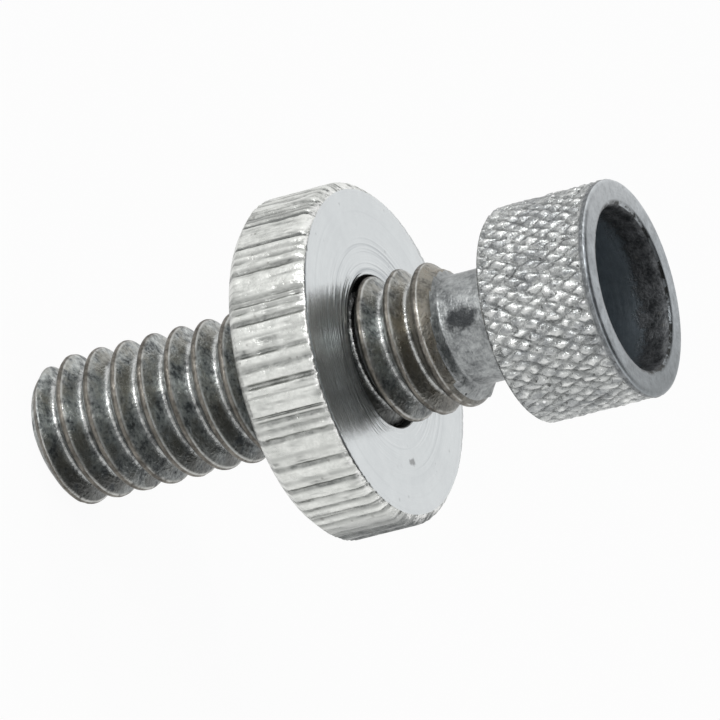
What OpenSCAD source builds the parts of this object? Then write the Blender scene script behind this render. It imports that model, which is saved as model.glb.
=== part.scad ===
// Cable adjuster: a hollow 1/4-20 screw with a knurled cup head, and its knurled lock nut.
// The cup takes the end of a cable housing, and the inner wire runs down through the shank.
// The screw stands on its thread end: Z = 0 is the end face, +Z points to the mouth of the cup.

/* [Shank] */
// Length from the end face to the underside of the head
shank_length = 21.6; // [12:0.1:40]
// Diameter of the plain neck under the head
neck_d = 4.72; // [4.4:0.02:5.6]
// Diameter of the through hole for the inner wire
wire_bore_d = 2.5; // [1.5:0.1:3.2]

/* [Thread] */
// Diameter over the thread crests (class 2A 1/4-20 is a little under 6.35)
thread_d = 6.28; // [5:0.01:8]
// Distance from one crest to the next
thread_pitch = 1.27; // [0.7:0.01:2]
// Diameter at the bottom of the thread groove
thread_root_d = 4.66; // [4:0.02:5.5]
// Height on the shank of the shoulder where the threaded length ends
thread_end = 18.4; // [8:0.05:30]
// Angle of the shoulder's slope down to the neck, measured from the axis
thread_end_angle = 58; // [30:1:80]
// Width of the flat on the crest
thread_crest_flat = 0.15; // [0.05:0.01:0.4]
// Width of the flat at the bottom of the groove
thread_root_flat = 0.2; // [0.05:0.01:0.4]
// Where the crest crosses the +X side, as a part of the pitch
thread_start = 0.58; // [0:0.01:1]
// Diameter of the end face, inside the lead-in bevel
thread_tip_d = 5.2; // [4:0.05:6]
// Angle of the lead-in bevel, measured from the end face
thread_tip_angle = 42; // [30:1:70]

/* [Cup head] */
// Length of the head along the screw
head_length = 4.95; // [3:0.05:10]
// Diameter over the points of the diamond knurl
head_d = 9.16; // [8:0.05:14]
// Diameter of the flat on the underside of the head
head_back_d = 8.5; // [7:0.1:12]
// Height of the bevel from that flat up to the bottom of the knurl's grooves
head_back_bevel = 0.2; // [0.05:0.05:0.25]
// Diameter of the plain band beside the mouth
head_band_d = 9.1; // [8:0.05:14]
// Width of the plain band beside the mouth
head_band_width = 0.3; // [0.15:0.05:1.5]
// Bevel around the outer edge of the mouth
head_mouth_bevel = 0.15; // [0:0.02:0.5]
// Bore of the cup, which takes the housing's end
cup_d = 6.88; // [5:0.02:8]
// Depth of the cup
cup_depth = 3.7; // [1:0.1:8]
// Bevel around the inner edge of the mouth
cup_bevel = 0.14; // [0:0.02:0.5]

/* [Diamond knurl] */
// Number of diamonds around the head
diamond_count = 51; // [30:1:80]
// Length of one diamond along the screw
diamond_length = 0.98; // [0.6:0.02:2]
// Depth of the knurl grooves
diamond_depth = 0.15; // [0.05:0.01:0.3]
// How unevenly the points stand up, as the wheel tracked over its own marks
diamond_uneven = 0.07; // [0:0.01:0.1]

/* [Lock nut] */
// Height of the nut's lower face on the screw
nut_height = 11.6; // [1:0.05:16]
// Thickness of the nut
nut_thickness = 3.6; // [2:0.05:8]
// Diameter over the knurled rim
nut_d = 14.5; // [10:0.1:24]
// Bevel around the rim's lower edge
nut_lower_bevel = 0.4; // [0:0.02:1]
// Bevel around the rim's upper edge
nut_upper_bevel = 0.08; // [0:0.02:1]
// Bevel around the mouth of the nut's hole
nut_mouth_bevel = 0.2; // [0:0.02:0.6]
// Gap between the nut's hole and the thread crests, on each side
nut_clearance = 0.06; // [0.02:0.01:0.1]

/* [Straight knurl] */
// Number of grooves around the rim
groove_count = 36; // [20:1:60]
// Depth of an average groove
groove_depth = 0.16; // [0.05:0.01:0.4]
// Angle that an average groove spans
groove_angle = 2.4; // [1:0.1:6]
// How far the grooves wander from even spacing, as a part of their spacing
groove_wander = 0.16; // [0:0.02:0.3]
// How much the grooves differ in width and depth, as a part of the average
groove_uneven = 0.4; // [0:0.05:0.6]
// Depth of the deepest hollow along the top of a ridge
ridge_hollow = 0.05; // [0:0.01:0.1]

/* [Hidden] */

$fn = 96;
OVER = 0.2;                       // how far cutting and joining shapes run past each other

STEEL = [0.42, 0.43, 0.44];       // dull zinc grey of the screw
BRIGHT = [0.80, 0.81, 0.82];      // bright aluminium of the nut

thread_r = thread_d / 2;
root_r = thread_root_d / 2;
neck_r = neck_d / 2;
tip_r = thread_tip_d / 2;
head_r = head_d / 2;
band_r = head_band_d / 2;
cup_r = cup_d / 2;
wire_r = wire_bore_d / 2;
total_length = shank_length + head_length;
cup_floor = total_length - cup_depth;

TURN_STEPS = 32;                  // flats in one turn of the thread
FIRST_TURN = -2;                  // the strip starts this many turns below the end face
EDGE = 0.07;                      // rounding of the crest's two edges
// One pitch of the thread: [place along the screw, radius], with the crest at 0.
thread_form = let (valley = (thread_pitch - thread_root_flat) / 2, crest = thread_crest_flat / 2)
    [[-valley, root_r], [-crest - EDGE, thread_r - EDGE], [-crest, thread_r],
     [crest, thread_r], [crest + EDGE, thread_r - EDGE], [valley, root_r]];
FORM_STEPS = len(thread_form);
NECK_RISE = 0.4;                  // length of the cone on which the neck leaves the last groove
neck_start = thread_end - NECK_RISE / 2;
strip_end = thread_end + thread_pitch;
thread_turns = ceil(strip_end / thread_pitch) - FIRST_TURN + 1;

// A repeatable number from 0 to 1 for place i, j.
function scatter(i, j = 0) =
    let (v = sin(i * 127.1 + j * 311.7 + 31) * 437.58) v - floor(v);

// Point k of the thread form at step i along the helix.
function thread_point(i, k) =
    let (a = 360 * i / TURN_STEPS, r = thread_form[k][1])
    [r * cos(a), r * sin(a),
     thread_pitch * (FIRST_TURN + thread_start + i / TURN_STEPS) + thread_form[k][0]];

// The thread: one helical strip closed on itself turn by turn, capped at both ends.
module thread_strip() {
    last = thread_turns * TURN_STEPS;
    top = last - TURN_STEPS;
    points = concat([for (i = [0:last], k = [0:FORM_STEPS - 1]) thread_point(i, k)],
                    [[0, 0, thread_point(0, 0)[2] - OVER],
                     [0, 0, thread_point(last, 0)[2] + OVER]]);
    function id(i, k) = i * FORM_STEPS + k;
    low = (last + 1) * FORM_STEPS;
    strip = [for (i = [0:last - 1], k = [0:FORM_STEPS - 2], h = [0, 1])
                h == 0 ? [id(i, k), id(i + 1, k + 1), id(i + 1, k)]
                       : [id(i, k), id(i, k + 1), id(i + 1, k + 1)]];
    seam = [for (i = [0:top - 1], h = [0, 1])
                h == 0 ? [id(i, FORM_STEPS - 1), id(i + 1 + TURN_STEPS, 0),
                          id(i + 1, FORM_STEPS - 1)]
                       : [id(i, FORM_STEPS - 1), id(i + TURN_STEPS, 0),
                          id(i + 1 + TURN_STEPS, 0)]];
    // Each cap follows the strip's free edge round one turn, then the step between turns.
    low_edge = concat([for (i = [0:TURN_STEPS]) id(i, 0)],
                      [for (k = [FORM_STEPS - 1:-1:1]) id(0, k)]);
    top_edge = concat([for (i = [top:last]) id(i, FORM_STEPS - 1)],
                      [for (k = [FORM_STEPS - 2:-1:0]) id(last, k)]);
    caps = concat([for (n = [0:len(low_edge) - 1])
                      [low, low_edge[n], low_edge[(n + 1) % len(low_edge)]]],
                  [for (n = [0:len(top_edge) - 1])
                      [low + 1, top_edge[(n + 1) % len(top_edge)], top_edge[n]]]);
    polyhedron(points, concat(strip, seam, caps), convexity = 10);
}

// The turned blank that the thread is cut into: a lead-in bevel, and the shoulder at its top.
module thread_blank() {
    clear_r = thread_r + OVER;
    inner_r = neck_r - OVER;
    rise = (clear_r - tip_r) * tan(thread_tip_angle);
    slope = 1 / tan(thread_end_angle);
    rotate_extrude()
        polygon([[0, 0], [tip_r, 0], [clear_r, rise],
                 [clear_r, thread_end - OVER * slope],
                 [inner_r, thread_end + (thread_r - inner_r) * slope],
                 [0, thread_end + (thread_r - inner_r) * slope]]);
}

// Rows of the head's outer surface from back to mouth: [height above the back, radius, knurled].
KNURL_ROWS = ceil((head_length - head_band_width) / (diamond_length / 2)) - 1;
head_rows = concat(
    [[0, head_back_d / 2, 0], [head_back_bevel, head_r - diamond_depth, 0]],
    [for (j = [1:KNURL_ROWS]) [j * diamond_length / 2, head_r, 1]],
    [[head_length - head_band_width, band_r, 0],
     [head_length - head_mouth_bevel, band_r, 0],
     [head_length, band_r - head_mouth_bevel, 0]]);

// Outer body of the head, with a pyramid on each diamond of the knurl.
module knurled_head() {
    around = 2 * diamond_count;
    rows = len(head_rows);
    function radius(i, j) =
        head_rows[j][1] - head_rows[j][2] *
            ((i + j) % 2 == 0 ? diamond_uneven * scatter(i, j)
                              : diamond_depth - diamond_uneven * (scatter(i, j) - 0.5));
    points = [for (j = [0:rows - 1], i = [0:around - 1])
                 let (a = 360 * i / around)
                 [radius(i, j) * cos(a), radius(i, j) * sin(a), shank_length + head_rows[j][0]]];
    function id(i, j) = j * around + i % around;
    // Each square is split along the groove, from low corner to low corner.
    skin = [for (j = [0:rows - 2], i = [0:around - 1], h = [0, 1])
               (i + j) % 2 == 0
                   ? (h == 0 ? [id(i, j), id(i, j + 1), id(i + 1, j)]
                             : [id(i + 1, j), id(i, j + 1), id(i + 1, j + 1)])
                   : (h == 0 ? [id(i, j), id(i, j + 1), id(i + 1, j + 1)]
                             : [id(i, j), id(i + 1, j + 1), id(i + 1, j)])];
    polyhedron(points, concat(skin, [[for (i = [0:around - 1]) id(i, 0)]],
                              [[for (i = [around - 1:-1:0]) id(i, rows - 1)]]), convexity = 4);
}

// Plain neck: it rises out of the thread's groove on a short cone and runs into the head.
module neck() {
    rotate_extrude()
        polygon([[0, neck_start], [neck_r - OVER, neck_start], [neck_r, neck_start + NECK_RISE],
                 [neck_r, shank_length + OVER], [0, shank_length + OVER]]);
}

// The cup, its bevelled mouth and the wire bore that goes on to the end face.
module cable_way() {
    translate([0, 0, cup_floor])
        cylinder(h = cup_depth + OVER, r = cup_r);
    translate([0, 0, total_length - cup_bevel])
        cylinder(h = cup_bevel + OVER, r1 = cup_r, r2 = cup_r + cup_bevel + OVER);
    translate([0, 0, -OVER])
        cylinder(h = cup_floor + 2 * OVER, r = wire_r);
}

module adjuster_screw() {
    color(STEEL)
    difference() {
        union() {
            intersection() {
                thread_strip();
                thread_blank();
            }
            neck();
            knurled_head();
        }
        cable_way();
    }
}

// Outline of the rim: flat-topped ridges between grooves of uneven place, width and depth.
module knurled_outline() {
    step = 360 / groove_count;
    function groove_at(n) = step * (n + groove_wander * (2 * scatter(n % groove_count, 1) - 1));
    function uneven(n, j) = 1 + groove_uneven * (2 * scatter(n % groove_count, j) - 1);
    function half_width(n) = groove_angle / 2 * uneven(n, 2);
    polygon([for (n = [0:groove_count - 1], part = [0:3])
        let (here = groove_at(n),
             next = groove_at(n + 1),
             edge = here + half_width(n),
             far_edge = next - half_width(n + 1),
             a = [here, edge, (edge + far_edge) / 2, far_edge][part],
             sink = [groove_depth * uneven(n, 3), 0, ridge_hollow * scatter(n, 4), 0][part],
             r = nut_d / 2 - sink)
        [r * cos(a), r * sin(a)]]);
}

module lock_nut() {
    hole_r = thread_r + nut_clearance;
    edge_r = nut_d / 2 + OVER;
    low = nut_lower_bevel + OVER;
    high = nut_upper_bevel + OVER;
    mouth_r = hole_r + nut_mouth_bevel;
    color(BRIGHT)
    translate([0, 0, nut_height])
    difference() {
        intersection() {
            linear_extrude(height = nut_thickness) knurled_outline();
            rotate_extrude()
                polygon([[0, 0], [edge_r - low, 0], [edge_r, low],
                         [edge_r, nut_thickness - high], [edge_r - high, nut_thickness],
                         [0, nut_thickness]]);
        }
        translate([0, 0, -OVER])
            cylinder(h = nut_thickness + 2 * OVER, r = hole_r);
        for (face = [0, 1])
            translate([0, 0, face * nut_thickness])
                mirror([0, 0, face])
                    translate([0, 0, -OVER])
                        cylinder(h = nut_mouth_bevel + OVER, r1 = mouth_r + OVER, r2 = hole_r);
    }
}

adjuster_screw();
lock_nut();
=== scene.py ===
"""Cable adjuster screw with its knurled lock nut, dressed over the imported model.

The screw stands on its thread end with the mouth of its cup up. Sizes in the sections of the
pieces are in millimetres; the finished meshes are in metres.
"""

import math

import bpy
from mathutils import Matrix, Vector


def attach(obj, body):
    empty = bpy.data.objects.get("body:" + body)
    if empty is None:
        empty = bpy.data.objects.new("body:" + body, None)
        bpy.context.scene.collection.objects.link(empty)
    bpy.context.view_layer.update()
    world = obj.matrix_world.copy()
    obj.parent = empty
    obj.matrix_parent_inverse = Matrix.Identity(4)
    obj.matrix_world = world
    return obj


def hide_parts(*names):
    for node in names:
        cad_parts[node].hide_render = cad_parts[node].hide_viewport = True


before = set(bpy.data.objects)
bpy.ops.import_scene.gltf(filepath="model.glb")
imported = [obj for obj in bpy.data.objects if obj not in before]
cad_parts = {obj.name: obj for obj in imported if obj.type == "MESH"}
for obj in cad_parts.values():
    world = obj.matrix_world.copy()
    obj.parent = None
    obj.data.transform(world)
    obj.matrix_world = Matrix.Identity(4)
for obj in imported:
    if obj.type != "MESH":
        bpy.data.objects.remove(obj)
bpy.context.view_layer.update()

scene = bpy.context.scene
scene.view_settings.view_transform = "Standard"


# ------------------------------------------------------------------------- studio
# A sheet of white paper in a white room with a dark ceiling, one small hard lamp for the
# glints on the thread and a wide soft one from the side. The camera looks past the mouth of
# the cup from a third of a metre away.

tilt = math.radians(66.3)         # of the line of sight, from the screw's own axis
roll = math.radians(14.434)
camera_distance = 0.334177
paper_reach = 4                   # each way from the screw
paper_glow = 0.94                 # share of its own light in what the camera sees of the paper
aim = Vector((0, 0, 0.013236))
back = Vector((0, -math.sin(tilt), math.cos(tilt)))
along = Vector((0, math.cos(tilt), math.sin(tilt)))
across = Vector((1, 0, 0))
right = math.cos(roll) * along + math.sin(roll) * across
up = math.sin(roll) * along - math.cos(roll) * across
camera = bpy.data.objects.new("camera", bpy.data.cameras.new("camera"))
scene.collection.objects.link(camera)
camera.matrix_world = (Matrix.Translation(aim + back * camera_distance)
                       @ Matrix((right, up, back)).transposed().to_4x4())
camera.data.sensor_width = 36
camera.data.lens = 405.986
camera.data.shift_x = 0.02427
camera.data.shift_y = 0.003224
camera.data.clip_start = 0.01
camera.data.clip_end = 20
scene.camera = camera


class Number:
    """A value in a node tree. Ordinary arithmetic on it adds Math nodes to that tree."""

    def __init__(self, tree, socket):
        self.tree, self.socket = tree, socket

    def math(self, operation, *others, clamp=False):
        node = self.tree.nodes.new("ShaderNodeMath")
        node.operation, node.use_clamp = operation, clamp
        for place, value in enumerate((self, *others)):
            if isinstance(value, Number):
                self.tree.links.new(value.socket, node.inputs[place])
            else:
                node.inputs[place].default_value = value
        return Number(self.tree, node.outputs[0])

    def __add__(self, other):
        return self.math("ADD", other)

    def __sub__(self, other):
        return self.math("SUBTRACT", other)

    def __mul__(self, other):
        return self.math("MULTIPLY", other)

    __radd__ = __add__
    __rmul__ = __mul__

    def __truediv__(self, other):
        return self.math("DIVIDE", other)

    def minus_from(self, other):
        return self.math("MULTIPLY_ADD", -1.0, other)

    def lowest(self, other):
        return self.math("MINIMUM", other)

    def highest(self, other):
        return self.math("MAXIMUM", other)

    def above(self, other):
        return self.math("GREATER_THAN", other)

    def below(self, other):
        return self.math("LESS_THAN", other)

    def size(self):
        return self.math("ABSOLUTE")

    def fraction(self):
        return self.math("FRACT")

    def share(self, low, high):
        """0 at low, 1 at high, straight between and level beyond."""
        node = self.tree.nodes.new("ShaderNodeMapRange")
        self.tree.links.new(self.socket, node.inputs["Value"])
        for name, value in (("From Min", low), ("From Max", high)):
            if isinstance(value, Number):
                self.tree.links.new(value.socket, node.inputs[name])
            else:
                node.inputs[name].default_value = value
        return Number(self.tree, node.outputs["Result"])

    def toward(self, other, part):
        """This value at part 0 and the other at part 1."""
        gap = other - self if isinstance(other, Number) else self.minus_from(other)
        return gap * part + self


def parts_of(tree, whole):
    """The X, Y and Z of a vector."""
    node = tree.nodes.new("ShaderNodeSeparateXYZ")
    tree.links.new(whole, node.inputs[0])
    return [Number(tree, output) for output in node.outputs]


def sky_shader(world):
    """A white wall round the horizon under a dark ceiling, for the metal to mirror."""
    tree = world.node_tree
    place = tree.nodes.new("ShaderNodeTexCoord")
    side, _, height = parts_of(tree, place.outputs["Generated"])
    ceiling = side.share(0.2, -0.5) * 0.22 + 0.07
    tone = ceiling.toward(1.0, height.share(0.69, 0.66))
    tree.links.new(tone.socket, tree.nodes["Background"].inputs["Color"])
    tree.nodes["Background"].inputs["Strength"].default_value = 1.0


world = bpy.data.worlds.new("studio")
world.use_nodes = True
scene.world = world
sky_shader(world)


def lamp(name, direction, distance, size, power):
    """A round lamp that shines at the middle of the screw."""
    light = bpy.data.lights.new(name, "AREA")
    light.shape = "DISK"
    light.size = size
    light.energy = power
    holder = bpy.data.objects.new(name, light)
    scene.collection.objects.link(holder)
    way = Vector(direction).normalized()
    holder.matrix_world = Matrix.Translation(aim + way * distance) @ way.to_track_quat(
        "Z", "Y").to_matrix().to_4x4()


lamp("glint_lamp", (-0.47, -0.2, 0.86), distance=0.8, size=0.07, power=0.45)
lamp("window_lamp", (-0.66, -0.62, 0.2), distance=0.5, size=0.22, power=1.0)

paper = bpy.data.materials.new("white_paper")
paper.use_nodes = True
tree = paper.node_tree
tree.nodes["Principled BSDF"].inputs["Base Color"].default_value = (0.93, 0.93, 0.93, 1)
tree.nodes["Principled BSDF"].inputs["Roughness"].default_value = 1.0
glow = tree.nodes.new("ShaderNodeEmission")
ray = tree.nodes.new("ShaderNodeLightPath")
blend = tree.nodes.new("ShaderNodeMixShader")
seen = Number(tree, ray.outputs["Is Camera Ray"]).highest(
    Number(tree, ray.outputs["Is Glossy Ray"]))
tree.links.new((seen * paper_glow).socket, blend.inputs["Fac"])
tree.links.new(tree.nodes["Principled BSDF"].outputs[0], blend.inputs[1])
tree.links.new(glow.outputs[0], blend.inputs[2])
tree.links.new(blend.outputs[0], tree.nodes["Material Output"].inputs["Surface"])
floor_mesh = bpy.data.meshes.new("floor")
floor_mesh.from_pydata([(x * paper_reach, y * paper_reach, 0)
                        for x, y in ((-1, -1), (1, -1), (1, 1), (-1, 1))], [], [(0, 1, 2, 3)])
floor_mesh.materials.append(paper)
floor = bpy.data.objects.new("floor", floor_mesh)
scene.collection.objects.link(floor)


# ------------------------------------------------------------------- adjuster screw
# One piece of zinc-plated steel, turned on a lathe. A die cut the 1/4-20 thread and stopped a
# little askew under a plain neck; the cup head is rolled with a diamond knurl, and the wire
# runs down the middle.

MM = 0.001

thread_pitch = 1.27
thread_start = 0.58               # turns from the +X side to the first crest, at the end face
first_turn, last_turn = -3, 15    # of the rows of points, which climb beyond both ends
crest_r = 3.14
root_r = 2.33
crest_flat = 0.2
crest_round = 4.6                 # fall from the crest, for each square of the way off it
root_flat = 0.2
root_round = 4.5
end_face_r = 2.2
tip_r = 2.6
tip_fall = 1.11                   # rise of the end bevel for each millimetre of radius
shoulder = 18.45
shoulder_lean = 0.24              # the die ran up further on one side
shoulder_fall = 1.6
past_shoulder = 1.0               # how far the thread's rows of points go on above it
neck_r = 2.36
bore_r = 1.25
head_z = 21.6
head_r = 4.58
head_back_r = 4.38
head_back_bevel = 0.2
band_r = 4.55
band_z = 26.25
mouth_z = 26.55
lip_r = 4.41
lip_bevel = 0.14
cup_r = 3.44
cup_floor = 22.85
diamonds_around = 51
diamond_length = 0.98
diamond_depth = 0.2
undivided = 9.0                   # a step longer than any stretch of an outline


def turned_outline(*corners):
    """Points round a closed outline, counter-clockwise with the radius to the right.

    A corner is (radius, height, longest step after it)."""
    points = []
    for (r, z, step), (r2, z2, _) in zip(corners, corners[1:] + corners[:1]):
        count = max(1, math.ceil(math.hypot(r2 - r, z2 - z) / step - 0.001))
        points += [(r + (r2 - r) * k / count, 0, z + (z2 - z) * k / count)
                   for k in range(count)]
    points.append(points[0])
    mesh = bpy.data.meshes.new("outline")
    mesh.from_pydata(points, [(k, k + 1) for k in range(len(points) - 1)], [])
    return mesh


def geometry_tree(name, sizes, outputs=()):
    """A geometry tree that takes an outline and the named sizes, and gives a surface."""
    tree = bpy.data.node_groups.new(name, "GeometryNodeTree")
    tree.interface.new_socket("Outline", in_out="INPUT", socket_type="NodeSocketGeometry")
    for size, kind in sizes.items():
        tree.interface.new_socket(size, in_out="INPUT", socket_type="NodeSocket" + kind)
    tree.interface.new_socket("Surface", in_out="OUTPUT", socket_type="NodeSocketGeometry")
    for output in outputs:
        tree.interface.new_socket(output, in_out="OUTPUT", socket_type="NodeSocketFloat")
    given = tree.nodes.new("NodeGroupInput")
    result = tree.nodes.new("NodeGroupOutput")
    numbers = {size: Number(tree, given.outputs[size]) for size in sizes}
    return tree, given, result, numbers


def vector(tree, x, y, z):
    """A vector from three values, each a Number or a plain one."""
    node = tree.nodes.new("ShaderNodeCombineXYZ")
    for place, value in enumerate((x, y, z)):
        if isinstance(value, Number):
            tree.links.new(value.socket, node.inputs[place])
        else:
            node.inputs[place].default_value = value
    return node.outputs[0]


def grain(tree, place, scale, detail=2.0, roughness=0.5):
    """Soft noise, from about -1 to 1."""
    node = tree.nodes.new("ShaderNodeTexNoise")
    tree.links.new(place, node.inputs["Vector"])
    node.inputs["Scale"].default_value = scale
    node.inputs["Detail"].default_value = detail
    node.inputs["Roughness"].default_value = roughness
    return (Number(tree, node.outputs[0]) - 0.5) * 2.5


def chance(tree, a, b, seed):
    """A fixed random number from 0 to 1 for each pair of whole numbers."""
    node = tree.nodes.new("ShaderNodeTexWhiteNoise")
    node.noise_dimensions = "3D"
    tree.links.new(vector(tree, a, b, seed), node.inputs["Vector"])
    return Number(tree, node.outputs[0])


def turned_surface():
    """Turns an outline about the Z axis and gives each point's radius, height and angle."""
    tree, given, result, n = geometry_tree(
        "turned surface", {"Steps Around": "Int"}, ("Radius", "Height", "Angle"))
    count = tree.nodes.new("GeometryNodeAttributeDomainSize")
    grid = tree.nodes.new("GeometryNodeMeshGrid")
    index = tree.nodes.new("GeometryNodeInputIndex")
    place = tree.nodes.new("GeometryNodeInputPosition")
    sample = tree.nodes.new("GeometryNodeSampleIndex")
    sample.data_type, sample.domain = "FLOAT_VECTOR", "POINT"
    tree.links.new(given.outputs["Outline"], count.inputs[0])
    rows = Number(tree, count.outputs["Point Count"])
    tree.links.new((n["Steps Around"] + 1).socket, grid.inputs["Vertices X"])
    tree.links.new(rows.socket, grid.inputs["Vertices Y"])
    here = Number(tree, index.outputs[0])
    column = ((here + 0.5) / rows).math("FLOOR")
    row = here - column * rows + 0.25
    tree.links.new(given.outputs["Outline"], sample.inputs["Geometry"])
    tree.links.new(place.outputs[0], sample.inputs["Value"])
    tree.links.new(row.socket, sample.inputs["Index"])
    radius, _, height = parts_of(tree, sample.outputs["Value"])
    angle = column / n["Steps Around"] * math.tau
    tree.links.new(grid.outputs["Mesh"], result.inputs["Surface"])
    tree.links.new(radius.socket, result.inputs["Radius"])
    tree.links.new(height.socket, result.inputs["Height"])
    tree.links.new(angle.socket, result.inputs["Angle"])
    return tree


TURNED_SURFACE = turned_surface()


def start_turning(tree, given):
    """The turned surface of a tree's outline, and what is known of each of its points."""
    node = tree.nodes.new("GeometryNodeGroup")
    node.node_tree = TURNED_SURFACE
    tree.links.new(given.outputs["Outline"], node.inputs["Outline"])
    tree.links.new(given.outputs["Steps Around"], node.inputs["Steps Around"])
    radius, height, angle = (
        Number(tree, node.outputs[name]) for name in ("Radius", "Height", "Angle"))
    return node, radius, height, angle, angle.math("COSINE"), angle.math("SINE")


def finish_turning(tree, node, result, radius, height, angle, kept, materials):
    """Places the points, keeps values for the finish, closes the seam, and dresses it.

    materials lists (material, rule); a rule takes radius and height in millimetres."""
    last = node.outputs["Surface"]
    for name, value in kept.items():
        keep = tree.nodes.new("GeometryNodeStoreNamedAttribute")
        keep.data_type, keep.domain = "FLOAT", "POINT"
        keep.inputs["Name"].default_value = name
        tree.links.new(value.socket, keep.inputs["Value"])
        tree.links.new(last, keep.inputs["Geometry"])
        last = keep.outputs[0]
    move = tree.nodes.new("GeometryNodeSetPosition")
    spot = vector(tree, radius * angle.math("COSINE") * MM, radius * angle.math("SINE") * MM,
                  height * MM)
    tree.links.new(spot, move.inputs["Position"])
    weld = tree.nodes.new("GeometryNodeMergeByDistance")
    weld.inputs["Distance"].default_value = 0.003 * MM
    smooth = tree.nodes.new("GeometryNodeSetShadeSmooth")
    real = tree.nodes.new("GeometryNodeRealizeInstances")
    for step in (move, weld, smooth, real):
        tree.links.new(last, step.inputs[0])
        last = step.outputs[0]
    for material, rule in materials:
        dress = tree.nodes.new("GeometryNodeSetMaterial")
        dress.inputs["Material"].default_value = material
        if rule:
            place = tree.nodes.new("GeometryNodeInputPosition")
            x, y, z = parts_of(tree, place.outputs[0])
            inside = rule((x * x + y * y).math("SQRT") / MM, z / MM)
            tree.links.new(inside.socket, dress.inputs["Selection"])
        tree.links.new(last, dress.inputs["Geometry"])
        last = dress.outputs[0]
    tree.links.new(last, result.inputs["Surface"])


def turned_piece(name, outline, tree, sizes):
    """Runs a tree on an outline and keeps the result as a plain mesh."""
    made = bpy.data.objects.new(name, outline)
    scene.collection.objects.link(made)
    modifier = made.modifiers.new("shape", "NODES")
    modifier.node_group = tree
    for socket in tree.interface.items_tree:
        if socket.in_out == "INPUT" and socket.name in sizes:
            modifier[socket.identifier] = sizes[socket.name]
    bpy.context.view_layer.update()
    graph = bpy.context.evaluated_depsgraph_get()
    mesh = bpy.data.meshes.new_from_object(made.evaluated_get(graph))
    made.modifiers.clear()
    made.data = mesh
    mesh.name = name
    return made


def threaded_shank(materials):
    """A helical groove in the turned blank. The rows of points run up with the helix."""
    tree, given, result, n = geometry_tree("threaded shank", {
        "Steps Around": "Int", "Pitch": "Float", "Start": "Float", "Crest Radius": "Float",
        "Root Radius": "Float", "Crest Flat": "Float", "Root Flat": "Float",
        "Tip Radius": "Float", "Tip Fall": "Float", "Shoulder Height": "Float",
        "Shoulder Lean": "Float", "Shoulder Fall": "Float", "Neck Radius": "Float"})
    node, radius, row_height, angle, cosine, sine = start_turning(tree, given)
    on_thread = radius.above(n["Crest Radius"] - 0.001)
    climbed = (row_height + n["Pitch"] * angle / math.tau).highest(0.0).lowest(
        n["Shoulder Height"] + past_shoulder)
    height = row_height.toward(climbed, on_thread)
    spot = vector(tree, cosine * 3.0, sine * 3.0, height)
    turn = height / n["Pitch"] - angle / math.tau - n["Start"]
    beside = ((turn + 0.5).fraction() - 0.5) * n["Pitch"]
    off_crest = beside.size()
    flank = off_crest.share(n["Crest Flat"] / 2.0, n["Pitch"] / 2.0 - n["Root Flat"] / 2.0)
    # The die rounded the crests and the roots.
    rounding = off_crest * off_crest * crest_round * off_crest.below(0.2)
    cut = n["Crest Radius"] - rounding.highest((n["Crest Radius"] - n["Root Radius"]) * flank)
    off_root = off_crest.minus_from(n["Pitch"] / 2.0)
    cut = cut.highest((off_root * off_root * root_round + n["Root Radius"])
                      * off_root.below(0.195))
    # Steep soft dents and nicks from handling, deepest on the crests.
    dent = grain(tree, spot, 0.9, 1.0).share(0.25, 1.0) * flank.share(0.5, 0.0) * 0.07
    cut = cut - dent + grain(tree, spot, 2.4, 3.0, 0.6) * 0.009
    over = height - (n["Shoulder Height"] + cosine * n["Shoulder Lean"])
    # The last turn is shallow: the leading teeth of the die never reached it.
    cut = cut.toward(n["Crest Radius"] - 0.08, over.share(-1.1, -0.2) * 0.5)
    cut = cut.lowest(n["Crest Radius"] - over.highest(0.0) * n["Shoulder Fall"]
                     + grain(tree, spot, 1.9, 2.0) * 0.04 * over.share(0.0, 0.2))
    # Swarf left where the die stopped, on the side it ran up to.
    burr = (angle - 0.2).math("COSINE").share(0.93, 1.0) * over.share(0.75, 0.35)
    swarf = (grain(tree, spot, 2.7, 2.0) * 0.22 + 0.45) * burr + n["Neck Radius"]
    cut = cut.highest(swarf * over.above(0.05))
    cut = cut.highest(n["Root Radius"] + grain(tree, spot, 2.0, 2.0) * 0.01)
    cut = cut.highest(n["Neck Radius"] * over.share(0.25, 0.5))
    cut = cut.lowest(n["Tip Radius"] + height / n["Tip Fall"]).lowest(n["Crest Radius"])
    on_neck = radius.above(n["Root Radius"] - 0.2) * height.above(
        n["Shoulder Height"] + (past_shoulder - 0.01))
    worn = n["Neck Radius"] + grain(tree, spot, 1.7, 3.0) * 0.012
    shaped = radius.toward(cut, on_thread).toward(worn, on_neck)
    depth = ((n["Crest Radius"] - shaped) / (n["Crest Radius"] - n["Root Radius"]))
    finish_turning(tree, node, result, shaped, height, angle,
                   {"depth": depth, "detail": beside}, materials)
    return tree


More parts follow.
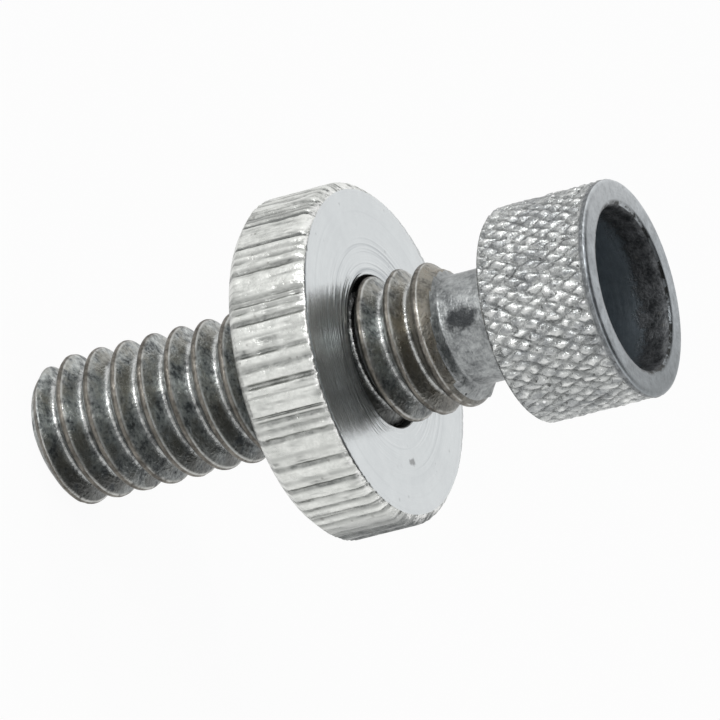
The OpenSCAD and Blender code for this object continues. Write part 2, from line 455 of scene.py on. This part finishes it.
def knurled_head(materials):
    """Two sets of slanting grooves leave flat-topped diamonds, each a little out of true."""
    tree, given, result, n = geometry_tree("knurled head", {
        "Steps Around": "Int", "Outer Radius": "Float", "Diamonds Around": "Float",
        "Diamond Length": "Float", "Diamond Depth": "Float", "Back Height": "Float",
        "Band Height": "Float"})
    node, radius, height, angle, cosine, sine = start_turning(tree, given)
    spot = vector(tree, cosine * 4.6, sine * 4.6, height)
    elsewhere = vector(tree, cosine * 4.6 + 30.0, sine * 4.6, height)
    around = angle / math.tau * n["Diamonds Around"]
    rise = height / n["Diamond Length"]
    warp = 0.32                   # of the two sets of grooves, in diamonds
    leftward = around + rise + grain(tree, spot, 1.5, 1.0) * warp
    rightward = around - rise + grain(tree, elsewhere, 1.5, 1.0) * warp
    left_cell, right_cell = (leftward + 0.5).math("FLOOR"), (rightward + 0.5).math("FLOOR")
    off_left, off_right = leftward - left_cell, rightward - right_cell
    edge = off_left.size().highest(off_right.size()) * 2.0
    row = left_cell - right_cell
    column = (left_cell + right_cell).math("FLOORED_MODULO", n["Diamonds Around"] * 2.0)
    first, second, third = (chance(tree, row, column, seed) for seed in (3.0, 11.0, 19.0))
    # Each diamond has four slopes, and no two of them came out alike.
    quarter = off_left.above(0.0) + off_right.above(0.0) * 2.0
    slope = chance(tree, row * 4.0 + quarter, column, 27.0)
    bite = grain(tree, spot, 2.4).share(-0.6, 0.6) * 0.45 + 0.55
    groove = edge.share(third * 0.22 + 0.24, 0.95) * bite * (slope * 0.2 + 0.8)
    top = ((first - 0.5) * off_left + (second - 0.5) * off_right) * 0.22 + third * 0.05
    # A second pass of the wheel fell out of step with the first and split some diamonds.
    twice = (around * 2.0 + rise * 2.0 + 0.3).fraction() - 0.5
    split = twice.size().share(0.16, 0.0) * grain(tree, spot, 0.7).share(0.0, 0.6) * 0.06
    fine = grain(tree, spot, 4.0, 3.0, 0.7) * 0.02
    rolled = height.above(n["Back Height"] - 0.001) * radius.above(4.0)
    fade = height.share(n["Band Height"] + 0.06, n["Band Height"] - 0.14)
    spare = 0.02                  # between the flat tops and the full radius, for the uneven ones
    sunk = (top + split + groove * (n["Diamond Depth"] - spare) + fine) * (fade * 0.8 + 0.2)
    knurled = (n["Outer Radius"] - spare - sunk).lowest(n["Outer Radius"])
    shaped = radius.toward(radius.lowest(knurled), rolled)
    finish_turning(tree, node, result, shaped, height, angle,
                   {"depth": groove * rolled * fade, "detail": slope * 0.4 + third * 0.6},
                   materials)
    return tree


def ink(red, green, blue):
    """A colour from 0 to 255, as linear light."""
    return tuple((v / 255 / 12.92 if v <= 10 else ((v / 255 + 0.055) / 1.055) ** 2.4)
                 for v in (red, green, blue)) + (1.0,)


def shader_group(name, inputs, outputs):
    """An empty shader node group with its sockets. An input is (kind, starting value)."""
    tree = bpy.data.node_groups.new(name, "ShaderNodeTree")
    for word, (kind, value) in inputs.items():
        socket = tree.interface.new_socket(word, in_out="INPUT", socket_type="NodeSocket" + kind)
        if value is not None:
            socket.default_value = value
    for word, kind in outputs.items():
        tree.interface.new_socket(word, in_out="OUTPUT", socket_type="NodeSocket" + kind)
    return tree, tree.nodes.new("NodeGroupInput"), tree.nodes.new("NodeGroupOutput")


def place_group():
    """Where a point is, in millimetres, and how far out from the screw's axis."""
    tree, _, result = shader_group(
        "turned place", {}, {"Spot": "Vector", "Radius": "Float", "Height": "Float"})
    place = tree.nodes.new("ShaderNodeTexCoord")
    large = tree.nodes.new("ShaderNodeVectorMath")
    large.operation = "SCALE"
    large.inputs["Scale"].default_value = 1 / MM
    tree.links.new(place.outputs["Object"], large.inputs[0])
    x, y, z = parts_of(tree, large.outputs[0])
    tree.links.new(large.outputs[0], result.inputs["Spot"])
    tree.links.new((x * x + y * y).math("SQRT").socket, result.inputs["Radius"])
    tree.links.new(z.socket, result.inputs["Height"])
    return tree


def tool_marks_group():
    """Fine lines that run round the axis on any turned surface, about -1 to 1."""
    tree, given, result = shader_group(
        "tool marks", {"Spot": ("Vector", None), "Lines": ("Float", 8.0),
                       "Run": ("Float", 0.25), "Detail": ("Float", 3.0)}, {"Marks": "Float"})
    x, y, z = parts_of(tree, given.outputs["Spot"])
    far = (x * x + y * y).math("SQRT").highest(0.01)
    lines, run = (Number(tree, given.outputs[k]) for k in ("Lines", "Run"))
    place = vector(tree, x / far * run * 4.0, y / far * run * 4.0, (z + far) * lines)
    node = tree.nodes.new("ShaderNodeTexNoise")
    tree.links.new(place, node.inputs["Vector"])
    tree.links.new(given.outputs["Detail"], node.inputs["Detail"])
    node.inputs["Scale"].default_value = 1.0
    node.inputs["Roughness"].default_value = 0.6
    tree.links.new(((Number(tree, node.outputs[0]) - 0.5) * 2.5).socket, result.inputs["Marks"])
    return tree


def mottle_group():
    """Patches of two sizes, 0 to 1."""
    tree, given, result = shader_group(
        "mottle", {"Spot": ("Vector", None), "Size": ("Float", 1.0),
                   "Contrast": ("Float", 1.0)}, {"Patches": "Float"})
    size, contrast = (Number(tree, given.outputs[k]) for k in ("Size", "Contrast"))
    patches = None
    for scale, part in ((1.0, 0.62), (4.3, 0.38)):
        node = tree.nodes.new("ShaderNodeTexNoise")
        tree.links.new(given.outputs["Spot"], node.inputs["Vector"])
        tree.links.new((size.math("POWER", -1.0) * scale).socket, node.inputs["Scale"])
        node.inputs["Detail"].default_value = 3.0
        node.inputs["Roughness"].default_value = 0.6
        layer = (Number(tree, node.outputs[0]) - 0.5) * part * 3.0
        patches = patches + layer if patches else layer
    tree.links.new((patches * contrast + 0.5).math("ADD", 0.0, clamp=True).socket,
                   result.inputs["Patches"])
    return tree


def specks_group():
    """Small pits and grains of grime, 0 between them and 1 inside."""
    tree, given, result = shader_group(
        "specks", {"Spot": ("Vector", None), "Scale": ("Float", 2.0),
                   "Amount": ("Float", 0.3)}, {"Specks": "Float"})
    node = tree.nodes.new("ShaderNodeTexVoronoi")
    tree.links.new(given.outputs["Spot"], node.inputs["Vector"])
    tree.links.new(given.outputs["Scale"], node.inputs["Scale"])
    colour = tree.nodes.new("ShaderNodeSeparateColor")
    tree.links.new(node.outputs["Color"], colour.inputs[0])
    there = Number(tree, colour.outputs[0]).below(Number(tree, given.outputs["Amount"]))
    wide = Number(tree, colour.outputs[1]) * 0.25 + 0.1
    speck = Number(tree, node.outputs["Distance"]).share(wide, wide * 0.4) * there
    tree.links.new(speck.socket, result.inputs["Specks"])
    return tree


PLACE, TOOL_MARKS, MOTTLE, SPECKS = (
    place_group(), tool_marks_group(), mottle_group(), specks_group())


def use(tree, group, **inputs):
    """Puts a group in a tree. Gives its only output as a Number, or else the whole node."""
    node = tree.nodes.new("ShaderNodeGroup")
    node.node_tree = group
    for name, value in inputs.items():
        if isinstance(value, Number):
            tree.links.new(value.socket, node.inputs[name])
        elif hasattr(value, "links"):
            tree.links.new(value, node.inputs[name])
        else:
            node.inputs[name].default_value = value
    return Number(tree, node.outputs[0]) if len(node.outputs) == 1 else node


def blend_colour(tree, part, first, second):
    """The first colour at part 0 and the second at part 1."""
    node = tree.nodes.new("ShaderNodeMix")
    node.data_type = "RGBA"
    tree.links.new(part.socket, node.inputs[0])
    for place, colour in ((6, first), (7, second)):
        if isinstance(colour, tuple):
            node.inputs[place].default_value = colour
        else:
            tree.links.new(colour, node.inputs[place])
    return node.outputs[2]


def kept_value(tree, name):
    """A value that finish_turning kept on the points."""
    node = tree.nodes.new("ShaderNodeAttribute")
    node.attribute_name = name
    return Number(tree, node.outputs["Fac"])


def metal(name, anisotropy=0.0):
    """A bare metal and its tree, with the place of the point that it colours."""
    material = bpy.data.materials.new(name)
    material.use_nodes = True
    tree = material.node_tree
    shader = tree.nodes["Principled BSDF"]
    shader.inputs["Metallic"].default_value = 1.0
    shader.inputs["Anisotropic"].default_value = anisotropy
    return material, tree, shader, use(tree, PLACE)


def finish_metal(tree, shader, colour, roughness, height, strength, distance=0.05):
    """Gives a metal its colour, roughness and relief. The distance is in millimetres."""
    tree.links.new(colour, shader.inputs["Base Color"])
    tree.links.new(roughness.socket, shader.inputs["Roughness"])
    bump = tree.nodes.new("ShaderNodeBump")
    bump.inputs["Strength"].default_value = strength
    bump.inputs["Distance"].default_value = distance * MM
    tree.links.new(height.socket, bump.inputs["Height"])
    tree.links.new(bump.outputs[0], shader.inputs["Normal"])


def thread_zinc():
    """Dull plating on the flanks, brown on the worn crests, bright down in the roots, with a
    painted highlight along the crests and painted shade toward +X.
    """
    material, tree, shader, place = metal("thread_zinc")
    spot = place.outputs["Spot"]
    depth, beside = kept_value(tree, "depth"), kept_value(tree, "detail")
    off_crest = beside.size()
    marks = use(tree, TOOL_MARKS, Spot=spot, Lines=9.0, Run=0.5)
    patches = use(tree, MOTTLE, Spot=spot, Size=0.6, Contrast=1.4)
    broad = use(tree, MOTTLE, Spot=spot, Size=2.6, Contrast=1.5)
    specks = use(tree, SPECKS, Spot=spot, Scale=3.0, Amount=0.12)
    flank = blend_colour(tree, (patches + marks * 0.2).math("ADD", 0.0, clamp=True),
                         ink(84, 88, 90), ink(204, 208, 206))
    flank = blend_colour(tree, broad.share(0.4, 0.8) * 0.55, flank, ink(116, 110, 96))
    # The last turns before the neck, and the crests, have gone brown.
    x, _, height = parts_of(tree, spot)
    browned = height.share(16.4, 17.6) * (patches * 0.5 + 0.4)
    flank = blend_colour(tree, browned, flank, ink(132, 124, 110))
    crest = blend_colour(tree, patches, ink(82, 79, 74), ink(132, 128, 121))
    root = blend_colour(tree, patches.share(0.0, 0.7), ink(104, 106, 107), ink(196, 198, 197))
    # Painted shade: flanks and roots darker toward +X, the side away from the lamps.
    painted_side_shade = x.share(-0.8, 2.6) * (broad * 0.5 + 0.35)
    flank = blend_colour(tree, painted_side_shade, flank, ink(64, 66, 67))
    root = blend_colour(tree, painted_side_shade * 0.6, root, ink(74, 75, 75))
    colour = blend_colour(tree, depth.share(0.78, 0.92), flank, root)
    colour = blend_colour(tree, off_crest.share(0.18, 0.08), colour, crest)
    # Painted highlight: a thin light line along the +Z edge of each crest.
    bright = beside.share(0.08, 0.11) * beside.share(0.17, 0.13) * broad.share(0.1, 0.7)
    colour = blend_colour(tree, bright * 0.65, colour, ink(214, 215, 212))
    colour = blend_colour(tree, specks * 0.5, colour, ink(50, 48, 46))
    roughness = (patches.minus_from(1.0) * 0.16 + 0.26 - depth.share(0.7, 0.9) * 0.08
                 + off_crest.share(0.09, 0.07) * 0.12)
    bumps = marks * 0.35 + patches * 0.8 - specks * 0.8
    finish_metal(tree, shader, colour, roughness, bumps, 0.7, 0.035)
    return material


def neck_zinc():
    """Satin plating, with a dull dark stain and painted shade in the corner under the head."""
    material, tree, shader, place = metal("neck_zinc")
    spot = place.outputs["Spot"]
    x, y, height = parts_of(tree, spot)
    marks = use(tree, TOOL_MARKS, Spot=spot, Lines=6.0, Run=0.7)
    patches = use(tree, MOTTLE, Spot=spot, Size=1.0, Contrast=1.2)
    cloudy = use(tree, MOTTLE, Spot=spot, Size=0.4, Contrast=1.3)
    specks = use(tree, SPECKS, Spot=spot, Scale=2.6, Amount=0.15)
    colour = blend_colour(tree, patches * 0.55 + cloudy * 0.45, ink(78, 81, 83),
                          ink(190, 193, 193))
    # The stain: a soft-edged patch half way up the neck, on the side toward the camera.
    off_x, off_z = (x + 0.52) / 0.46, (height - 19.62 + x * 0.35) / 0.72
    off = off_x * off_x + off_z * off_z
    stain = (off + (patches - 0.5) * 0.5 + (cloudy - 0.5) * 0.6).share(1.5, 0.5) * y.below(0.0)
    colour = blend_colour(tree, stain * 0.88, colour, ink(52, 54, 56))
    # Painted shade in the corner under the head.
    corner = height.share(head_z - 0.28, head_z - 0.06)
    colour = blend_colour(tree, corner * (patches * 0.4 + 0.6), colour, ink(74, 71, 66))
    colour = blend_colour(tree, specks * 0.5, colour, ink(70, 70, 72))
    # Grit caught in the swarf.
    grit = use(tree, SPECKS, Spot=spot, Scale=2.6, Amount=0.55)
    grit = grit * x.share(1.9, 2.3) * height.share(20.1, 19.8)
    colour = blend_colour(tree, grit * 0.9, colour, ink(30, 30, 31))
    roughness = cloudy * 0.14 + 0.3 + stain * 0.12
    finish_metal(tree, shader, colour, roughness, marks * 0.2 + cloudy * 0.9, 0.6, 0.035)
    return material


def knurl_zinc():
    """Bright tops on the diamonds with painted glints on some, and dark grime and painted shade in
    the grooves between them.
    """
    material, tree, shader, place = metal("knurl_zinc")
    spot = place.outputs["Spot"]
    depth, own = kept_value(tree, "depth"), kept_value(tree, "detail")
    patches = use(tree, MOTTLE, Spot=spot, Size=0.35, Contrast=1.2)
    broad = use(tree, MOTTLE, Spot=spot, Size=1.8, Contrast=1.2)
    specks = use(tree, SPECKS, Spot=spot, Scale=3.4, Amount=0.3)
    painted_glints = use(tree, SPECKS, Spot=spot, Scale=3.1, Amount=0.3)
    slopes = blend_colour(tree, patches * 0.7 + own * 0.3, ink(110, 113, 114),
                          ink(220, 222, 220))
    tops = blend_colour(tree, patches * 0.35 + own.share(0.75, 0.2) * 0.65,
                        ink(132, 135, 136), ink(240, 241, 239))
    colour = blend_colour(tree, depth.share(0.34, 0.12), slopes, tops)
    colour = blend_colour(tree, broad.share(0.45, 0.8) * 0.4, colour, ink(122, 126, 131))
    plain = blend_colour(tree, patches, ink(88, 91, 93), ink(142, 145, 147))
    band = Number(tree, place.outputs["Height"]).share(band_z - 0.1, band_z + 0.04)
    colour = blend_colour(tree, band, colour, plain)
    # Grime and painted shade in the grooves.
    groove_dirt_and_shade = depth.share(0.4, 0.85) * (patches * 0.6 + 0.35)
    colour = blend_colour(tree, groove_dirt_and_shade, colour, ink(74, 76, 77))
    colour = blend_colour(tree, specks * 0.6, colour, ink(70, 70, 68))
    # Painted glints: white specks on the tops of the diamonds.
    painted_glint_mask = painted_glints * depth.share(0.6, 0.3) * band.minus_from(1.0)
    colour = blend_colour(tree, painted_glint_mask * 0.9, colour, ink(255, 255, 255))
    roughness = patches * 0.12 + 0.15 + groove_dirt_and_shade * 0.2 + band * 0.15
    finish_metal(tree, shader, colour, roughness, patches * 0.8 - specks, 0.6, 0.05)
    return material


def mouth_zinc():
    """The turned lip of the cup: satin, with the tool's rings and a rough inner edge."""
    material, tree, shader, place = metal("mouth_zinc", 0.35)
    spot, radius = place.outputs["Spot"], Number(tree, place.outputs["Radius"])
    marks = use(tree, TOOL_MARKS, Spot=spot, Lines=11.0, Run=1.2)
    patches = use(tree, MOTTLE, Spot=spot, Size=0.7, Contrast=1.1)
    specks = use(tree, SPECKS, Spot=spot, Scale=3.2, Amount=0.2)
    colour = blend_colour(tree, patches * 0.8 + marks * 0.12 + 0.1, ink(118, 123, 127),
                          ink(190, 196, 200))
    # Painted light and shade: lighter toward -X, the side of the lamps, and darker toward +X.
    x = parts_of(tree, spot)[0]
    colour = blend_colour(tree, x.share(-1.5, -4.2) * (patches * 0.4 + 0.35), colour,
                          ink(216, 219, 221))
    colour = blend_colour(tree, x.share(1.5, 4.2) * 0.4, colour, ink(112, 115, 116))
    chipped = radius.share(3.7, 3.56) * patches.share(0.3, 0.6)
    colour = blend_colour(tree, chipped, colour, ink(58, 59, 58))
    colour = blend_colour(tree, specks * 0.3, colour, ink(84, 84, 84))
    roughness = patches * 0.1 + 0.34
    finish_metal(tree, shader, colour, roughness, marks * 0.3 + patches * 0.4 - specks * 0.6,
                 0.5, 0.03)
    return material


def cup_inside():
    """Unplated and grey down in the cup and the wire bore, darker near the mouth."""
    material, tree, shader, place = metal("cup_inside")
    spot, height = place.outputs["Spot"], Number(tree, place.outputs["Height"])
    marks = use(tree, TOOL_MARKS, Spot=spot, Lines=5.0, Run=0.6)
    patches = use(tree, MOTTLE, Spot=spot, Size=0.5, Contrast=1.3)
    specks = use(tree, SPECKS, Spot=spot, Scale=2.4, Amount=0.25)
    # Darker in the top of the cup wall, near the mouth.
    near_mouth_dark = (height + patches * 0.5).share(mouth_z - 1.3, mouth_z - 0.9)
    smooth = blend_colour(tree, patches * 0.5 + marks * 0.15 + 0.25, ink(128, 137, 144),
                          ink(162, 171, 178))
    near_mouth_colour = blend_colour(tree, patches, ink(52, 54, 56), ink(116, 118, 120))
    colour = blend_colour(tree, near_mouth_dark, smooth, near_mouth_colour)
    colour = blend_colour(tree, specks * near_mouth_dark * 0.6, colour, ink(120, 120, 118))
    roughness = near_mouth_dark * 0.1 + 0.5
    finish_metal(tree, shader, colour, roughness, patches * near_mouth_dark + marks * 0.3, 0.4, 0.05)
    return material


cup_grey = cup_inside()
# How far each row of points lies from the crest of its turn.
crest_offsets = (-0.635, -0.58, -0.53, -0.48, -0.44, -0.31, -0.2, -0.15, -0.1, -0.05, 0,
                 0.05, 0.1, 0.15, 0.2, 0.31, 0.44, 0.48, 0.53, 0.58)
thread_rows = [(crest_r, thread_pitch * (thread_start + turn) + off, undivided)
               for turn in range(first_turn, last_turn + 1) for off in crest_offsets]
shank = turned_piece("shank", turned_outline(
    (bore_r, 0, 0.5), (end_face_r, 0, undivided), *thread_rows,
    (neck_r, shoulder + past_shoulder, 0.12), (neck_r, head_z, 0.6), (bore_r, head_z, 3.0)),
    threaded_shank([
        (thread_zinc(), None),
        (neck_zinc(), lambda r, z: z.above(r.share(2.6, 3.0) * 0.3 + shoulder + 0.1)
         * r.above(1.4)),
        (cup_grey, lambda r, z: r.below(bore_r + 0.02) * z.above(0.02))]),
    {"Steps Around": 132, "Pitch": thread_pitch, "Start": thread_start,
     "Crest Radius": crest_r, "Root Radius": root_r, "Crest Flat": crest_flat,
     "Root Flat": root_flat, "Tip Radius": tip_r, "Tip Fall": tip_fall,
     "Shoulder Height": shoulder, "Shoulder Lean": shoulder_lean,
     "Shoulder Fall": shoulder_fall, "Neck Radius": neck_r})
head = turned_piece("head", turned_outline(
    (bore_r, head_z, 0.5), (head_back_r, head_z, 0.1),
    (head_r, head_z + head_back_bevel, diamond_length / 10), (head_r, band_z, 0.05),
    (band_r, mouth_z - lip_bevel, 0.05), (band_r - 0.05, mouth_z - 0.05, 0.05),
    (lip_r, mouth_z, 0.17), (cup_r + lip_bevel, mouth_z, 0.07),
    (cup_r, mouth_z - lip_bevel, 0.25), (cup_r, cup_floor, 0.4), (bore_r, cup_floor, 0.7)),
    knurled_head([
        (knurl_zinc(), None),
        (mouth_zinc(), lambda r, z: z.above(mouth_z - 0.1) * r.above(cup_r - 0.01)),
        (cup_grey, lambda r, z: r.below(cup_r + 0.03) * z.above(head_z + 0.02))]),
    {"Steps Around": diamonds_around * 10, "Outer Radius": head_r,
     "Diamonds Around": diamonds_around, "Diamond Length": diamond_length,
     "Diamond Depth": diamond_depth, "Back Height": head_z + 0.05, "Band Height": band_z})
with bpy.context.temp_override(active_object=shank, selected_editable_objects=[shank, head]):
    bpy.ops.object.join()
screw = shank
screw.name = screw.data.name = "adjuster_screw_turned"
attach(screw, "adjuster_screw")
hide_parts("adjuster_screw")


# ------------------------------------------------------------------------ lock nut
# A knurled ring of bright aluminium, drilled and tapped to run on the screw. Its faces were
# turned, which left fine rings, and the straight grooves of its rim were rolled unevenly.

nut_z = 11.6
nut_top = 15.2
nut_r = 7.25
nut_lower_bevel = 0.4
nut_upper_bevel = 0.08
nut_bore_r = 3.2
nut_mouth_bevel = 0.06
groove_count = 36
groove_depth = 0.14
groove_angle = 2.4
groove_wander = 0.16
groove_uneven = 0.4
corner_knock = 0.38


def scatter(number, place):
    """The same uneven spacing as the solid nut's, 0 to 1."""
    return (((number * 127.1 + (place * 311.7 + 31)) * math.radians(1)).math("SINE")
            * 437.58).fraction()


def grooved_ring(materials):
    """Straight grooves round the rim, a tapped bore, and a ragged rolled edge in front."""
    tree, given, result, n = geometry_tree("grooved ring", {
        "Steps Around": "Int", "Rim Radius": "Float", "Bore Radius": "Float",
        "Upper Face": "Float", "Grooves": "Float", "Groove Depth": "Float",
        "Groove Angle": "Float", "Wander": "Float", "Uneven": "Float", "Pitch": "Float",
        "Start": "Float"})
    node, radius, height, angle, cosine, sine = start_turning(tree, given)
    degrees = angle * (180 / math.pi)
    step = n["Grooves"].math("DIVIDE", 360.0).math("POWER", -1.0)
    number = (degrees / step + 0.5).math("FLOOR")
    same = number.math("FLOORED_MODULO", n["Grooves"])
    uneven = [(scatter(same, place) * 2.0 - 1.0) for place in (1, 2, 3)]
    off = (degrees - step * (number + n["Wander"] * uneven[0])).size()
    half_width = n["Groove Angle"] / 2.0 * (n["Uneven"] * uneven[1] + 1.0)
    deep = n["Groove Depth"] * (n["Uneven"] * uneven[2] + 1.0)
    # Noise drawn out along the grooves: finer lines pressed between them.
    across_x, across_y = cosine * n["Rim Radius"], sine * n["Rim Radius"]
    lines = grain(tree, vector(tree, across_x, across_y, height * 0.14), 4.0, 3.0, 0.7)
    broken = grain(tree, vector(tree, across_x, across_y, height), 1.4, 2.0)
    groove = off.share(half_width, half_width * 0.35) * (broken.share(-0.9, 0.1) * 0.6 + 0.4)
    # A shallower mark between most pairs of grooves, where the wheel skidded.
    after, before = ((degrees - step * (number + uneven[1] * 0.2 + half)).size()
                     for half in (0.5, -0.5))
    skid = after.lowest(before).share(1.5, 0.3) * (uneven[2] * 0.3 + 0.7) * broken.share(-0.9, 0.0)
    groove = groove.highest(skid)
    pressed = lines.share(0.0, 0.9) * 0.09 + broken.share(0.2, 1.0) * 0.03
    ragged = height.share(n["Upper Face"] - 0.3, n["Upper Face"] - 0.05)
    edge = grain(tree, vector(tree, across_x, across_y, height * 0.2), 3.4, 2.0)
    # The front corner has been rounded over by knocks, more on two sides.
    corner = height.share(n["Upper Face"] - 0.45, n["Upper Face"])
    knocked = cosine * cosine * corner
    rim = (n["Rim Radius"] - (groove * deep + pressed) * (ragged * -0.8 + 1.0)
           * (knocked * -0.9 + 1.0) - ragged * edge.share(0.0, 0.8) * (sine * sine) * 0.12
           - knocked * corner * corner_knock).lowest(n["Rim Radius"])
    shaped = radius.toward(radius.lowest(rim), radius.above(n["Rim Radius"] - 1.0))
    # The tapped thread: a valley in the bore that follows the crest of the screw.
    turn = height / n["Pitch"] - angle / math.tau - n["Start"]
    valley = ((turn + 0.5).fraction() - 0.5).size().share(0.42, 0.08) * 0.2
    in_bore = radius.below(n["Bore Radius"] + 0.001)
    shaped = shaped + valley * in_bore
    depth = groove.highest(lines.share(-0.1, 0.5) * broken.share(-0.6, 0.3) * 0.85).lowest(1.0)
    finish_turning(tree, node, result, shaped, height, angle,
                   {"depth": depth, "detail": ragged}, materials)
    return tree


def nut_rim():
    """Warm white ridges, dark grime and painted shade in the grooves, and bright bruises on the
    front edge.
    """
    material, tree, shader, place = metal("nut_rim")
    spot = place.outputs["Spot"]
    depth, ragged = kept_value(tree, "depth"), kept_value(tree, "detail")
    patches = use(tree, MOTTLE, Spot=spot, Size=0.45, Contrast=1.2)
    broad = use(tree, MOTTLE, Spot=spot, Size=2.0, Contrast=1.0)
    specks = use(tree, SPECKS, Spot=spot, Scale=3.0, Amount=0.12)
    colour = blend_colour(tree, patches * 0.6 + broad * 0.4, ink(196, 198, 194),
                          ink(244, 245, 241))
    x = parts_of(tree, spot)[0]
    # Grime and painted shade in the grooves, heavier toward -X.
    groove_dirt_and_shade = depth.share(0.03, 0.7) * (patches * 0.4 + broad * 0.6 + x.share(-4.6, -6.6) * 0.5
                                     + 0.2).lowest(1.0)
    colour = blend_colour(tree, groove_dirt_and_shade, colour, ink(118, 120, 118))
    # Painted dark reflection: the rim turns grey toward its +X edge.
    painted_dark_reflection = x.share(6.2, 7.05) * (patches * 0.3 + 0.7)
    colour = blend_colour(tree, painted_dark_reflection, colour, ink(86, 89, 90))
    # Bruises that shine along the front edge.
    bruised = ragged * (patches - 0.45).share(0.0, 0.2)
    colour = blend_colour(tree, bruised * 0.8, colour, ink(252, 252, 250))
    colour = blend_colour(tree, specks * 0.5, colour, ink(110, 108, 104))
    roughness = patches * 0.12 + 0.26
    finish_metal(tree, shader, colour, roughness, patches * 0.7 - depth - specks * 0.5,
                 0.5, 0.04)
    return material


def nut_face():
    """Turned aluminium, bright enough to mirror the shank that stands out of it."""
    material, tree, shader, place = metal("nut_face", 0.5)
    shader.inputs["Metallic"].default_value = 0.93
    spot, radius = place.outputs["Spot"], Number(tree, place.outputs["Radius"])
    tangent = tree.nodes.new("ShaderNodeTangent")
    tangent.direction_type, tangent.axis = "RADIAL", "Z"
    tree.links.new(tangent.outputs[0], shader.inputs["Tangent"])
    fine = use(tree, TOOL_MARKS, Spot=spot, Lines=26.0, Run=0.35)
    rings = use(tree, TOOL_MARKS, Spot=spot, Lines=5.4, Run=0.12, Detail=1.5)
    patches = use(tree, MOTTLE, Spot=spot, Size=1.6, Contrast=0.8)
    specks = use(tree, SPECKS, Spot=spot, Scale=3.0, Amount=0.03)
    near_hole = radius.share(5.4, 3.6)
    colour = blend_colour(tree, patches * 0.6 + fine * 0.12 + 0.2, ink(200, 204, 206),
                          ink(216, 220, 221))
    colour = blend_colour(tree, rings.share(0.15, 0.5) * (near_hole * 0.6 + 0.07), colour,
                          ink(132, 138, 144))
    colour = blend_colour(tree, specks * 0.3, colour, ink(120, 122, 124))
    # One small bruise on the front face.
    x, y, z = parts_of(tree, spot)
    off = ((x - 4.67) * 1.6).math("POWER", 2.0) + (y + 0.14).math("POWER", 2.0)
    bruise = (off.math("SQRT") + grain(tree, spot, 3.4) * 0.22).share(0.3, 0.14) * 0.6
    colour = blend_colour(tree, bruise * z.above(nut_top - 0.2), colour, ink(92, 91, 90))
    roughness = patches * 0.04 + 0.1 + bruise * 0.2
    finish_metal(tree, shader, colour, roughness,
                 fine * 0.2 + rings * (near_hole * 3.4 + 0.25), 0.5, 0.03)
    return material


def nut_bore():
    """The tapped hole, painted dark as shade from the shank."""
    material, tree, shader, place = metal("nut_bore")
    spot = place.outputs["Spot"]
    marks = use(tree, TOOL_MARKS, Spot=spot, Lines=7.0, Run=0.4)
    patches = use(tree, MOTTLE, Spot=spot, Size=0.8, Contrast=1.1)
    colour = blend_colour(tree, patches, ink(52, 53, 54), ink(120, 122, 124))
    # Painted light: the bore is lighter toward +X.
    x = parts_of(tree, spot)[0]
    painted_light_side = x.share(0.6, 2.4)
    colour = blend_colour(tree, painted_light_side * 0.9, colour, ink(176, 178, 178))
    shader.inputs["Metallic"].default_value = 0.6
    finish_metal(tree, shader, colour, patches * 0.2 + 0.3, marks + patches * 0.4, 0.4, 0.03)
    return material


nut = turned_piece("lock_nut_turned", turned_outline(
    (nut_bore_r + nut_mouth_bevel, nut_z, 0.35), (nut_r - nut_lower_bevel, nut_z, 0.15),
    (nut_r, nut_z + nut_lower_bevel, 0.12), (nut_r, nut_top - nut_upper_bevel, 0.06),
    (nut_r - nut_upper_bevel, nut_top, 0.3), (nut_bore_r + nut_mouth_bevel, nut_top, 0.1),
    (nut_bore_r + 0.001, nut_top - nut_mouth_bevel, 0.1),
    (nut_bore_r, nut_top - nut_mouth_bevel - 0.01, 0.1),
    (nut_bore_r, nut_z + nut_mouth_bevel + 0.01, 0.1),
    (nut_bore_r + 0.001, nut_z + nut_mouth_bevel, 0.1)),
    grooved_ring([
        (nut_rim(), None),
        (nut_face(), lambda r, z: r.below(nut_r - nut_upper_bevel - 0.02)
         * (z - (nut_z + nut_top) / 2).size().above((nut_top - nut_z) / 2 - 0.02)),
        (nut_bore(), lambda r, z: r.below(nut_bore_r + 0.35)
         * (z - (nut_z + nut_top) / 2).size().below((nut_top - nut_z) / 2 - 0.02))]),
    {"Steps Around": groove_count * 20, "Rim Radius": nut_r, "Bore Radius": nut_bore_r,
     "Upper Face": nut_top, "Grooves": groove_count, "Groove Depth": groove_depth,
     "Groove Angle": groove_angle, "Wander": groove_wander, "Uneven": groove_uneven,
     "Pitch": thread_pitch, "Start": thread_start})
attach(nut, "lock_nut")
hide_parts("lock_nut")
